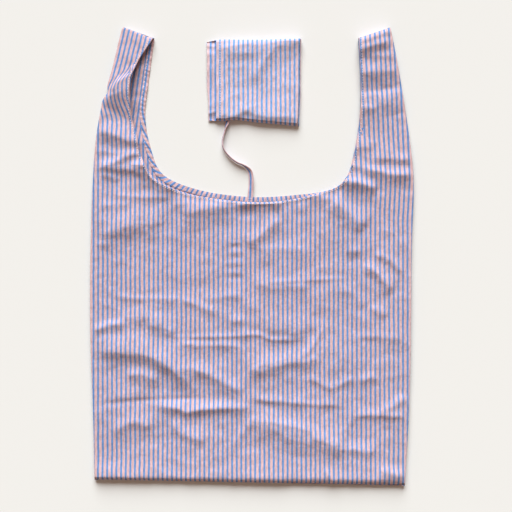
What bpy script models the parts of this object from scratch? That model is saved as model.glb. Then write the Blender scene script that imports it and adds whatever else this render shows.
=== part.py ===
"""Foldable tote bag lying flat, with the small pouch that it packs into.

The bag is thin striped cotton: a front and a back panel, a gusset folded in at each side, hemmed
shoulder straps that meet in a seam at the top of each handle, and a flat pouch on a short tape.
Metres, +Z up. The origin is on the resting surface, under the middle of the bag; +Y points to the
handles and +X to the right of somebody who looks down on the front.
"""

import bmesh
import bpy
from mathutils import Vector

# Heights above the resting surface
CLOTH = 0.0012          # a panel, with the air that loose cloth holds
STRAP_CLOTH = 0.0014    # a strap is the panel cloth lined by the gusset cloth
HEM_CLOTH = 0.0016      # cloth turned twice and stitched
HEM_RISE = 0.0002       # how far a hem stands proud of each face of its panel
TOP = 0.0076            # upper face of the front layer
GAP = 0.0003            # clearance between neighbouring solids
GUSSET_LEAF = 0.0010
SEAM_LOW = 0.0017
SEAM_HIGH = 0.0059

# Widths
NECK_HEM = 0.0065
STRAP_HEM = 0.0060
GUSSET_DEPTH = 0.0470
SEAM_ALLOWANCE = 0.0080
FOLD_WALL = 0.0012      # cloth at the inner fold of a gusset
SEAM_MARGIN = 0.0010    # how far inside the edge a seam allowance starts
CUT_PAST = 0.0030       # how far the hollow of a gusset runs past its open sides
WELD = 0.00001          # corners nearer than this are one corner

# Fold lines, as the height of each hinge axis and its place along the bag
LOWER_FOLD_Y = -0.1290
LOWER_FOLD_Z = 0.0152
HANDLE_FOLD_Y = 0.1680
NECK_Y = 0.0710
TOP_FOLD_Z = 0.0098
GUSSET_TOP_Y = 0.1050

# Outer edges of the bag, each from the bottom corner to the top corner of its handle
LEFT_EDGE = [
    (-0.1875, -0.2660), (-0.1893, -0.1900), (-0.1924, -0.1000), (-0.1928, -0.0200),
    (-0.1905, 0.0700), (-0.1865, 0.1350), (-0.1785, 0.1870), (-0.1665, 0.2240), (-0.1520, 0.2732),
]
RIGHT_EDGE = [
    (0.1820, -0.2732), (0.1878, -0.1700), (0.1896, -0.0700), (0.1904, 0.0100),
    (0.1928, 0.0850), (0.1885, 0.1350), (0.1800, 0.1920), (0.1715, 0.2400), (0.1650, 0.2724),
]
# The necklines, each from the top of the left handle down and round to the top of the right handle.
# The front one has slipped outwards at the left handle and down in the middle.
BACK_NECKLINE = [
    (-0.1165, 0.2600), (-0.1240, 0.2050), (-0.1277, 0.1680), (-0.1215, 0.1310),
    (-0.1060, 0.0975), (-0.0620, 0.0790), (-0.0040, 0.0710), (0.0500, 0.0730),
    (0.0930, 0.0795), (0.1130, 0.0950), (0.1225, 0.1260), (0.1287, 0.1680),
    (0.1295, 0.2040), (0.1270, 0.2598),
]
FRONT_NECKLINE = [
    (-0.1180, 0.2590), (-0.1222, 0.2520), (-0.1350, 0.2320), (-0.1440, 0.2050),
    (-0.1436, 0.1700), (-0.1370, 0.1430), (-0.1310, 0.1180), (-0.1180, 0.0950),
    (-0.0980, 0.0822), (-0.0650, 0.0722), (-0.0030, 0.0646), (0.0450, 0.0672),
    (0.0780, 0.0755), (0.1000, 0.0825), (0.1145, 0.0965), (0.1225, 0.1260),
    (0.1287, 0.1680), (0.1295, 0.2040), (0.1270, 0.2598),
]
# Corners of the pouch, clockwise from its mouth's upper corner
POUCH = [(-0.0540, 0.2565), (0.0587, 0.2592), (0.0560, 0.1550), (-0.0520, 0.1620)]
POUCH_MOUTH_X = -0.0432  # edge of the front layer; the back layer reaches past it
POUCH_CORNER = 0.0040
POUCH_HEM = 0.0060
POUCH_SEAM_TOP = 0.0026

# The tape, from the pouch to its sewn end on the neck hem
TAPE_ROUTE = [
    (-0.0297, 0.1594, 0.0030), (-0.0327, 0.1496, 0.0031), (-0.0352, 0.1390, 0.0035),
    (-0.0342, 0.1290, 0.0037), (-0.0273, 0.1195, 0.0037), (-0.0181, 0.1122, 0.0037),
    (-0.0099, 0.1086, 0.0036), (-0.0036, 0.1032, 0.0034), (-0.0013, 0.0972, 0.0033),
    (-0.0010, 0.0862, 0.0030), (-0.0017, 0.0745, 0.0030),
]
TAPE_RADIUS = 0.0015
TAPE_WIDTH = 0.0070
TAPE_FOOT_LOW = (-0.0030, 0.0640)
TAPE_FOOT_HIGH = (-0.0018, 0.0736)
TAPE_THICKNESS = 0.0005
TACK_WIDTH = 0.0050
TACK_THICKNESS = 0.0002

CURVE_STEPS = 4         # straight pieces between two neighbouring outline points


def clear_scene():
    for item in list(bpy.data.objects):
        bpy.data.objects.remove(item, do_unlink=True)


def new_collection(name):
    group = bpy.data.collections.new(name)
    bpy.context.scene.collection.children.link(group)
    return group


def cloth_material(name, colour, roughness=0.9):
    finish = bpy.data.materials.new(name)
    finish.use_nodes = True
    shader = finish.node_tree.nodes["Principled BSDF"]
    shader.inputs["Base Color"].default_value = (*colour, 1.0)
    shader.inputs["Roughness"].default_value = roughness
    shader.inputs["Metallic"].default_value = 0.0
    finish.diffuse_color = (*colour, 1.0)
    return finish


def smooth(points, steps=CURVE_STEPS):
    """A smooth path through the points: a Catmull-Rom curve."""
    given = [Vector(p) for p in points]
    ends = [2 * given[0] - given[1], *given, 2 * given[-1] - given[-2]]
    path = []
    for before, start, stop, after in zip(ends, ends[1:], ends[2:], ends[3:]):
        for step in range(steps):
            t = step / steps
            bend = (2 * before - 5 * start + 4 * stop - after) * t * t
            twist = (3 * start - before - 3 * stop + after) * t * t * t
            path.append((2 * start + (stop - before) * t + bend + twist) / 2)
    return path + [given[-1]]


def side_step(path, distance):
    """The path moved sideways to its right by a distance."""
    moved = []
    for number, point in enumerate(path):
        ahead = path[min(number + 1, len(path) - 1)]
        behind = path[max(number - 1, 0)]
        along = (ahead - behind).normalized()
        moved.append(point + distance * Vector((along.y, -along.x)))
    return moved


def crossing(start, stop, height):
    share = (height - start.y) / (stop.y - start.y)
    return start.lerp(stop, share)


def between(path, low, high):
    """The stretch of a path that lies between two heights y, with its ends exactly on them."""
    kept = []
    for start, stop in zip(path, path[1:]):
        cuts = [h for h in (low, high) if min(start.y, stop.y) < h < max(start.y, stop.y)]
        if low <= start.y <= high:
            kept.append(start)
        kept += sorted((crossing(start, stop, h) for h in cuts), key=lambda p: (p - start).length)
    if low <= path[-1].y <= high:
        kept.append(path[-1])
    return kept


def left_half(path):
    return [p for p in path if p.x < 0]


def right_half(path):
    return [p for p in path if p.x >= 0]


def slab(name, outline, low, high, finish, axis=None):
    """A flat piece of cloth: its outline, filled, from one height to another."""
    shape = bpy.data.curves.new(name, "CURVE")
    shape.dimensions = "2D"
    shape.fill_mode = "BOTH"
    shape.extrude = (high - low) / 2
    line = shape.splines.new("POLY")
    line.points.add(len(outline) - 1)
    base = axis.location if axis else Vector((0, 0, 0))
    for point, place in zip(line.points, outline):
        point.co = (place[0] - base.x, place[1] - base.y, 0, 1)
    line.use_cyclic_u = True
    piece = bpy.data.objects.new(name, shape)
    piece.location = (0, 0, (low + high) / 2 - base.z) if axis else (0, 0, (low + high) / 2)
    piece.parent = axis
    shape.materials.append(finish)
    BAG.objects.link(piece)
    return piece


def meshed(piece, group):
    """The same piece as a mesh, with its caps welded to its sides, in the given collection."""
    bpy.context.view_layer.update()
    graph = bpy.context.evaluated_depsgraph_get()
    mesh = bpy.data.meshes.new_from_object(piece.evaluated_get(graph))
    welded = bmesh.new()
    welded.from_mesh(mesh)
    bmesh.ops.remove_doubles(welded, verts=welded.verts, dist=WELD)
    welded.to_mesh(mesh)
    welded.free()
    name = piece.name
    place, holder = piece.matrix_world.copy(), piece.parent
    bpy.data.objects.remove(piece, do_unlink=True)
    solid = bpy.data.objects.new(name, mesh)
    group.objects.link(solid)
    solid.parent = holder
    solid.matrix_world = place
    return solid


def joint_axis(name, y, z):
    empty = bpy.data.objects.new(name, None)
    empty.empty_display_size = 0.02
    empty.location = (0, y, z)
    BAG.objects.link(empty)
    return empty


def upper_layer(layer, sides, neck, low, high, heights, hem_heights):
    """One layer of the upper bag: the panel up to its neck hem, and the hem along the neckline."""
    hem_inside = between(side_step(neck, NECK_HEM), low, high)
    panel_neck = between(side_step(neck, NECK_HEM + GAP), low, high)
    slab(f"{layer}_panel_upper", sides[0] + panel_neck + sides[1][::-1], *heights, STRIPED)
    slab(f"{layer}_neck_hem", between(neck, low, high) + hem_inside[::-1], *hem_heights, HEM)


def upper_bag(left, right, back_neck, front_neck):
    low, high = LOWER_FOLD_Y + GAP / 2, HANDLE_FOLD_Y - GAP / 2
    sides = between(left, low, high), between(right, low, high)
    upper_layer("back", sides, back_neck, low, high, (0, CLOTH), (0, HEM_CLOTH))
    front_hem = TOP - CLOTH - HEM_RISE, TOP + HEM_RISE
    upper_layer("front", sides, front_neck, low, high, (TOP - CLOTH, TOP), front_hem)


def lower_bag(left, right, axis):
    high = LOWER_FOLD_Y - GAP / 2
    sides = between(left, left[0].y, high), between(right, right[0].y, high)
    outline = sides[0] + sides[1][::-1]
    slab("back_panel_lower", outline, 0, CLOTH, STRIPED, axis)
    slab("front_panel_lower", outline, TOP - CLOTH, TOP, STRIPED, axis)
    inset = Vector((2 * SEAM_MARGIN, SEAM_MARGIN))
    start = left[0] + inset
    stop = right[0] + Vector((-inset.x, inset.y))
    rise = Vector((0, SEAM_ALLOWANCE))
    slab("bottom_seam", [start, start + rise, stop + rise, stop], SEAM_LOW, SEAM_HIGH, STRIPED, axis)


def gusset(name, edge, inwards, low, high, axis=None):
    """A strip folded lengthwise: two leaves, open at the side of the bag, joined by the fold."""
    outer = between(edge, low, high)
    inner = [p + Vector((inwards * GUSSET_DEPTH, 0)) for p in outer]
    body = slab(name, outer + inner[::-1], CLOTH + GAP, TOP - CLOTH - GAP, GUSSET, axis)
    past = Vector((0, CUT_PAST))
    hollow_outer = [p - Vector((inwards * CUT_PAST, 0)) for p in outer]
    hollow_inner = [p - Vector((inwards * FOLD_WALL, 0)) for p in inner]
    hollow_outer = [hollow_outer[0] - past, *hollow_outer, hollow_outer[-1] + past]
    hollow_inner = [hollow_inner[0] - past, *hollow_inner, hollow_inner[-1] + past]
    leaf_low = CLOTH + GAP + GUSSET_LEAF
    leaf_high = TOP - CLOTH - GAP - GUSSET_LEAF
    hollow = slab(f"{name}_hollow", hollow_outer + hollow_inner[::-1], leaf_low, leaf_high, GUSSET, axis)
    body = meshed(body, BAG)
    hollow = meshed(hollow, CUTTERS)
    hollow.hide_render = True
    hollow.display_type = "WIRE"
    cut = body.modifiers.new("fold", "BOOLEAN")
    cut.operation = "DIFFERENCE"
    cut.solver = "EXACT"
    cut.object = hollow


def gussets(left, right, lower_axis):
    split = LOWER_FOLD_Y
    low = left[0].y + SEAM_ALLOWANCE + 2 * SEAM_MARGIN
    gusset("left_gusset_upper", left, 1, split + GAP / 2, GUSSET_TOP_Y)
    gusset("right_gusset_upper", right, -1, split + GAP / 2, GUSSET_TOP_Y)
    gusset("left_gusset_lower", left, 1, low, split - GAP / 2, lower_axis)
    gusset("right_gusset_lower", right, -1, low, split - GAP / 2, lower_axis)


def strap(side, layer, edge, neck, heights, axis):
    """One strap of a handle and the hem along its inner edge."""
    low, high = HANDLE_FOLD_Y + GAP / 2, edge[-1].y
    half = left_half if side == "left" else right_half
    lines = [neck, side_step(neck, STRAP_HEM), side_step(neck, STRAP_HEM + GAP)]
    rim, inside, strap_inside = [between(half(line), low, high) for line in lines]
    if rim[0].y > rim[-1].y:
        rim, inside, strap_inside = rim[::-1], inside[::-1], strap_inside[::-1]
    outer = between(edge, low, high)
    slab(f"{side}_{layer}_strap", outer + strap_inside[::-1], *heights, STRIPED, axis)
    slab(f"{side}_{layer}_strap_hem", rim + inside[::-1], *heights, HEM, axis)


def handle_seam(side, corner, tip, axis):
    """The seam allowance between the straps, along the top edge from its corner to its tip."""
    inwards = 1 if tip.x > corner.x else -1
    margin = Vector((inwards * 2 * SEAM_MARGIN, -SEAM_MARGIN))
    drop = Vector((0, -SEAM_ALLOWANCE))
    start, stop = corner + margin, tip + Vector((-margin.x, margin.y))
    outline = [start, stop, stop + drop, start + drop]
    slab(f"{side}_handle_seam", outline, SEAM_LOW, SEAM_HIGH, STRIPED, axis)


def handles(left, right, back_neck, front_neck, left_axis, right_axis):
    """Two handles, each a front and a back strap sewn together along the top."""
    for side, edge, axis in (("left", left, left_axis), ("right", right, right_axis)):
        strap(side, "back", edge, back_neck, (0, STRAP_CLOTH), axis)
        strap(side, "front", edge, front_neck, (TOP - STRAP_CLOTH, TOP), axis)
    handle_seam("left", left[-1], back_neck[0], left_axis)
    handle_seam("right", right[-1], back_neck[-1], right_axis)


def rounded(corners, cut):
    """The corners of an outline, each cut by a short straight edge."""
    outline = []
    for number, corner in enumerate(corners):
        before = corners[number - 1]
        after = corners[(number + 1) % len(corners)]
        outline.append(corner + cut * (before - corner).normalized())
        outline.append(corner + cut * (after - corner).normalized())
    return outline


def pouch_stretch(x_low, x_high, inset=0.0):
    """The part of the pouch between two distances across it, inset at its upper and lower edge."""
    top_left, top_right, low_right, low_left = [Vector(p) for p in POUCH]
    outline = []
    for start, stop, sign in ((top_left, top_right, -1), (low_left, low_right, 1)):
        for x in (x_low, x_high):
            share = (x - start.x) / (stop.x - start.x)
            outline.append(Vector((x, start.lerp(stop, share).y + sign * inset)))
    return [outline[0], outline[1], outline[3], outline[2]]


def pouch(axis, front_axis):
    corners = [Vector(p) for p in POUCH]
    hem_end = corners[0].x + POUCH_HEM
    back = rounded(corners, POUCH_CORNER)[2:6]
    strip = pouch_stretch(hem_end + GAP, 0.0)
    slab("pouch_back", [strip[0], *back, strip[3]], 0, CLOTH, STRIPED, axis)
    hem_start = (corners[0].x + corners[3].x) / 2
    slab("pouch_back_mouth_hem", pouch_stretch(hem_start, hem_end), 0, STRAP_CLOTH, HEM, axis)

    front_start = POUCH_MOUTH_X + POUCH_HEM + GAP
    strip = pouch_stretch(front_start, 0.0)
    slab("pouch_front", [strip[0], *back, strip[3]], TOP - CLOTH, TOP, STRIPED, front_axis)
    mouth = pouch_stretch(POUCH_MOUTH_X, POUCH_MOUTH_X + POUCH_HEM)
    slab("pouch_front_mouth_hem", mouth, TOP - CLOTH, TOP, HEM, front_axis)

    side = corners[2].x - SEAM_MARGIN
    inside = SEAM_MARGIN + SEAM_ALLOWANCE
    seam_low = CLOTH + GAP
    across = pouch_stretch(POUCH_MOUTH_X, side, inset=SEAM_MARGIN)
    inner = pouch_stretch(POUCH_MOUTH_X, side, inset=inside)
    rows = {
        "pouch_top_seam": [across[0], across[1], inner[1], inner[0]],
        "pouch_bottom_seam": [inner[3], inner[2], across[2], across[3]],
    }
    for name, outline in rows.items():
        slab(name, outline, seam_low, POUCH_SEAM_TOP, STRIPED, axis)
    side_seam = pouch_stretch(side - SEAM_ALLOWANCE, side, inset=inside + GAP)
    slab("pouch_side_seam", side_seam, seam_low, POUCH_SEAM_TOP, STRIPED, axis)


def tape(axis):
    """The free tape, as a tube along its middle."""
    line = bpy.data.curves.new("pouch_tape", "CURVE")
    line.dimensions = "3D"
    line.bevel_depth = TAPE_RADIUS
    line.bevel_resolution = 2
    line.use_fill_caps = True
    route = smooth(TAPE_ROUTE, steps=3)
    spline = line.splines.new("POLY")
    spline.points.add(len(route) - 1)
    for point, place in zip(spline.points, route):
        point.co = (*(place - axis.location), 1)
    line.materials.append(TAPE)
    piece = bpy.data.objects.new("pouch_tape", line)
    piece.parent = axis
    BAG.objects.link(piece)


def tape_foot():
    """The end of the tape that lies on the neck hem, and the stitches that hold it."""
    low, high = Vector(TAPE_FOOT_LOW), Vector(TAPE_FOOT_HIGH)
    half = Vector((TAPE_WIDTH / 2, 0))
    bottom = HEM_CLOTH + GAP
    top = bottom + TAPE_THICKNESS
    slab("tape_foot", [low - half, high - half, high + half, low + half], bottom, top, TAPE)
    half = Vector((TACK_WIDTH / 2, 0))
    tack_low = low.lerp(high, 0.25)
    tack_high = low.lerp(high, 0.50)
    outline = [tack_low - half, tack_high - half, tack_high + half, tack_low + half]
    slab("tape_tack_stitch", outline, top + GAP, top + GAP + TACK_THICKNESS, THREAD)


clear_scene()
BAG = new_collection("foldable_tote_bag")
CUTTERS = new_collection("cutters")
STRIPED = cloth_material("striped cotton", (0.72, 0.66, 0.74))
HEM = cloth_material("hemmed cotton", (0.66, 0.62, 0.74))
GUSSET = cloth_material("gusset cotton", (0.60, 0.57, 0.68))
TAPE = cloth_material("woven tape", (0.45, 0.55, 0.78), roughness=0.8)
THREAD = cloth_material("sewing thread", (0.85, 0.72, 0.72), roughness=0.7)

left_edge = smooth(LEFT_EDGE)
right_edge = smooth(RIGHT_EDGE)
back_neckline = smooth(BACK_NECKLINE)
front_neckline = smooth(FRONT_NECKLINE)

lower_axis = joint_axis("lower_fold_axis", LOWER_FOLD_Y, LOWER_FOLD_Z)
left_axis = joint_axis("left_handle_axis", HANDLE_FOLD_Y, TOP_FOLD_Z)
right_axis = joint_axis("right_handle_axis", HANDLE_FOLD_Y, TOP_FOLD_Z)
pouch_axis = joint_axis("pouch_flip_axis", NECK_Y, TOP_FOLD_Z)
press_axis = joint_axis("pouch_press_axis", POUCH[0][1], TOP)

upper_bag(left_edge, right_edge, back_neckline, front_neckline)
lower_bag(left_edge, right_edge, lower_axis)
gussets(left_edge, right_edge, lower_axis)
handles(left_edge, right_edge, back_neckline, front_neckline, left_axis, right_axis)
pouch(pouch_axis, press_axis)
tape(pouch_axis)
tape_foot()
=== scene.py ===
"""A foldable cotton tote bag laid flat, with the small pouch it packs into joined to it by a tape."""

import math

import bmesh
import bpy
import numpy as np
from mathutils import Matrix, Vector, noise


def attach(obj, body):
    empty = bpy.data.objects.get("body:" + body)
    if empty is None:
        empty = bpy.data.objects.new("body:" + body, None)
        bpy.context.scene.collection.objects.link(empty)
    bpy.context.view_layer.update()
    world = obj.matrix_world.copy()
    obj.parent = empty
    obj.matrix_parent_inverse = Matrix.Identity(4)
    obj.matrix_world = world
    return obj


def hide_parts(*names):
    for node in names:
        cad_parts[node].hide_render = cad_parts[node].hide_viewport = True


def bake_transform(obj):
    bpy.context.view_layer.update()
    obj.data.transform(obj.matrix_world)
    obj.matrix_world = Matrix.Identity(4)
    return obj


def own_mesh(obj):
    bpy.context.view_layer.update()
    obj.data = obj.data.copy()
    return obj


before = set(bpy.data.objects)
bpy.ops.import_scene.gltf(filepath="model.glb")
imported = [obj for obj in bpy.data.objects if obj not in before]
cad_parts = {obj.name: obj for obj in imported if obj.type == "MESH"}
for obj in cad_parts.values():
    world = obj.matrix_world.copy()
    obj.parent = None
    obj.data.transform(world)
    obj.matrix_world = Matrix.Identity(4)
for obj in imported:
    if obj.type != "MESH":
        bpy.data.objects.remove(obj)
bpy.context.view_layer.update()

# ------------------------------------------------------------------ front panel below the handles
# The front of the bag is one cut of thin cotton shirting, woven in pink and blue stripes. Its sides are
# pressed folds that run on into the gussets, its neck is turned under and stitched, and a seam joins it
# to the back along the bottom. It was kept folded up small, so sharp and soft creases cross it.
LEFT_EDGE = [
    (-0.1875, -0.2660), (-0.1893, -0.1900), (-0.1924, -0.1000), (-0.1928, -0.0200), (-0.1905, 0.0700),
    (-0.1865, 0.1350), (-0.1796, 0.1780), (-0.1772, 0.1872), (-0.1718, 0.1955), (-0.1722, 0.2035),
    (-0.1667, 0.2230), (-0.1620, 0.2425), (-0.1600, 0.2515), (-0.1574, 0.2618), (-0.1552, 0.2700),
    (-0.1530, 0.2732),
]
RIGHT_EDGE = [
    (0.1820, -0.2732), (0.1878, -0.1700), (0.1896, -0.0700), (0.1904, 0.0100), (0.1928, 0.0850),
    (0.1885, 0.1350), (0.1800, 0.1920), (0.1715, 0.2400), (0.1650, 0.2724),
]
FRONT_NECKLINE = [
    (-0.1180, 0.2590), (-0.1222, 0.2520), (-0.1350, 0.2320), (-0.1440, 0.2050), (-0.1436, 0.1700),
    (-0.1370, 0.1430), (-0.1310, 0.1180), (-0.1180, 0.0950), (-0.0980, 0.0822), (-0.0650, 0.0722),
    (-0.0030, 0.0646), (0.0450, 0.0672), (0.0780, 0.0755), (0.1000, 0.0825), (0.1145, 0.0965),
    (0.1225, 0.1260), (0.1287, 0.1680), (0.1295, 0.2040), (0.1270, 0.2598),
]
SHOULDER_Y = 0.1086
FRONT_HEIGHT = 0.0067
SEAM_HEIGHT = 0.0034
CLOTH_THICKNESS = 0.0004
FOLD_RADIUS, FOLD_TUCK = 0.0008, 0.0030
TURNED_RADIUS, TURNED_TUCK = 0.0011, 0.0040
HEM_WIDTH = 0.0060
STRIPE_REPEAT = 0.0055
BLUE_SHARE = 0.43
PINK = (0.715, 0.46, 0.455)
BLUE = (0.135, 0.272, 0.565)


def smooth(points, steps=8):
    """A curve through the points, as rows of an array."""
    points = np.array(points, float)
    ends = np.vstack((2 * points[0] - points[1], points, 2 * points[-1] - points[-2]))
    curve = []
    for k in range(len(points) - 1):
        a, b, c, d = ends[k : k + 4]
        for t in np.arange(steps) / steps:
            bend = (2 * a - 5 * b + 4 * c - d) * t * t + (3 * b - a - 3 * c + d) * t**3
            curve.append(0.5 * (2 * b + (c - a) * t + bend))
    return np.array(curve + [points[-1]])


def evenly(path, count):
    """The path again, as count + 1 points that are equally far apart."""
    run = np.concatenate(([0], np.cumsum(np.linalg.norm(np.diff(path, axis=0), axis=1))))
    wanted = np.linspace(0, run[-1], count + 1)
    return np.column_stack([np.interp(wanted, run, column) for column in path.T])


def stretch(path, low, high):
    """The part of a side edge between two places along the bag, from the lower one up."""
    path = path[np.argsort(path[:, 1])]
    inner = path[(path[:, 1] > low) & (path[:, 1] < high), 1]
    y = np.concatenate(([low], inner, [high]))
    return np.column_stack((np.interp(y, path[:, 1], path[:, 0]), y))


def scoop(path, level):
    """The part of a neckline below a level, from left to right, with its ends at the level."""
    below = np.flatnonzero(path[:, 1] < level)
    ends = []
    for a, b in ((below[0] - 1, below[0]), (below[-1], below[-1] + 1)):
        share = (level - path[a, 1]) / (path[b, 1] - path[a, 1])
        ends.append(path[a] + share * (path[b] - path[a]))
    return np.vstack((ends[0], path[below], ends[1]))


def patch(left, right, bottom, top):
    """Points of a four-sided cut of cloth, in rows from the bottom up, between its four edges."""
    s = np.linspace(0, 1, len(bottom))[None, :, None]
    t = np.linspace(0, 1, len(left))[:, None, None]
    across = (1 - s) * left[:, None] + s * right[:, None]
    along = (1 - t) * bottom[None] + t * top[None]
    low = (1 - s) * bottom[0] + s * bottom[-1]
    high = (1 - s) * top[0] + s * top[-1]
    return across + along - (1 - t) * low - t * high


def ramp(value, low, high):
    """0 below low, 1 above high, and an easy curve between."""
    t = np.clip((value - low) / (high - low), 0, 1)
    return t * t * (3 - 2 * t)


def waves(x, y, size, place):
    """Soft random waves of about that size, from -1 to 1."""
    flat = [noise.noise(Vector((a / size, b / size, place))) for a, b in zip(x.ravel(), y.ravel())]
    return np.array(flat).reshape(x.shape)


def creases(x, y, lines):
    """The height of creases, each in millimetres: its points, rise, and width on the left and right."""
    height = np.zeros(x.shape)
    x, y = x * 1000, y * 1000
    for points, rise, left, right in lines:
        path = smooth(points, 6)
        path = evenly(path, max(6, int(np.linalg.norm(np.diff(path, axis=0), axis=1).sum() / 1.5)))
        reach = 4 * max(left, right)
        low, high = path.min(axis=0) - reach, path.max(axis=0) + reach
        near = (x > low[0]) & (x < high[0]) & (y > low[1]) & (y < high[1])
        place = np.column_stack((x[near], y[near]))
        gap = place[:, None] - path[None]
        nearest = (gap**2).sum(axis=2).argmin(axis=1)
        gap = gap[np.arange(len(place)), nearest]
        tangent = np.gradient(path, axis=0)
        tangent /= np.linalg.norm(tangent, axis=1)[:, None]
        tangent = tangent[nearest]
        aside = gap[:, 1] * tangent[:, 0] - gap[:, 0] * tangent[:, 1]
        along = nearest / (len(path) - 1)
        ends = ramp(np.minimum(along, 1 - along), 0, 0.22)
        width = left + (right - left) * ramp(-aside, -0.5, 0.5)
        height[near] += rise * ends * np.exp(-((np.hypot(*gap.T) / width) ** 1.5))
    return height / 1000


def from_path(path, x, y):
    """How far each point is from a path, and how far along the path its nearest place is."""
    run = np.concatenate(([0], np.cumsum(np.linalg.norm(np.diff(path, axis=0), axis=1))))
    away, along = np.empty(x.shape), np.empty(x.shape)
    for row in range(x.shape[0]):
        gap = np.hypot(x[row, :, None] - path[None, :, 0], y[row, :, None] - path[None, :, 1])
        nearest = gap.argmin(axis=1)
        away[row] = gap.min(axis=1)
        along[row] = run[nearest]
    return away, along


def fold_edge(grid, side, radius, tuck, down=1, turn=180):
    """Turns an edge of a grid under, with a tuck that runs back in, or on down when the turn is 90."""
    views = {
        "right": lambda g: g,
        "left": lambda g: g[:, ::-1],
        "top": lambda g: g.transpose(1, 0, 2),
        "bottom": lambda g: g[::-1, ::-1].transpose(1, 0, 2),
    }
    turned = views[side](grid)
    edge, inner = turned[:, -1].copy(), turned[:, -2]
    tangent = np.gradient(edge[:, :2], axis=0)
    ending = np.isnan(tangent[:, 0])
    tangent[ending] = (edge - np.roll(edge, 1, axis=0))[ending, :2]
    outward = np.column_stack((tangent[:, 1], -tangent[:, 0]))
    outward *= np.sign((outward * (edge - inner)[:, :2]).sum(axis=1))[:, None]
    outward /= np.linalg.norm(outward, axis=1)[:, None] + 1e-12
    reach = np.linalg.norm((edge - inner)[:, :2], axis=1)[:, None] + 1e-9
    weave = (edge - inner)[:, 3:5] / reach
    columns = []
    for angle in range(0, turn + 1, 45):
        bend = math.radians(angle)
        out, drop = radius * (math.sin(bend) - 1), radius * (1 - math.cos(bend))
        columns.append((out, drop, radius * (bend - 1)))
    out, drop, run = columns[-1]
    if turn > 90:
        columns.append((out - tuck, drop, run + tuck))
    else:
        columns.append((out, drop + tuck, run + tuck))
    made = []
    for out, drop, run in columns:
        column = edge.copy()
        column[:, :2] += outward * out
        column[:, 2] -= down * drop
        column[:, 3:5] += weave * run
        made.append(column)
    turned = np.concatenate((turned[:, :-1], np.stack(made, axis=1)), axis=1)
    return views[side](turned)


def cloth(name, grid, outside=1):
    """A sheet of cloth from rows of x, y, z and its place in the weave. Missing points leave a gap."""
    rows, columns = grid.shape[:2]
    work = bmesh.new()
    bmesh.ops.create_grid(work, x_segments=columns - 1, y_segments=rows - 1, size=0.5)
    weave = work.loops.layers.uv.new("weave")
    places, missing = {}, []
    for vertex in work.verts:
        i = round((vertex.co.x + 0.5) * (columns - 1))
        j = round((vertex.co.y + 0.5) * (rows - 1))
        if np.isnan(grid[j, i, 2]):
            missing.append(vertex)
            continue
        vertex.co = grid[j, i, :3]
        places[vertex.index] = grid[j, i, 3:5]
    for face in work.faces:
        face.smooth = True
        for loop in face.loops:
            if loop.vert.index in places:
                loop[weave].uv = places[loop.vert.index]
    bmesh.ops.delete(work, geom=missing, context="VERTS")
    if outside < 0:
        bmesh.ops.reverse_faces(work, faces=work.faces)
    for edge in work.edges:
        edge.smooth = not edge.is_boundary
    mesh = bpy.data.meshes.new(name)
    work.to_mesh(mesh)
    work.free()
    piece = bpy.data.objects.new(name, mesh)
    bpy.context.scene.collection.objects.link(piece)
    return piece


def thicken(piece, thickness=CLOTH_THICKNESS):
    """Gives a sheet its thickness, on its inner side."""
    wall = piece.modifiers.new("Cloth thickness", "SOLIDIFY")
    wall.thickness = thickness
    wall.offset = -1


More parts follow.
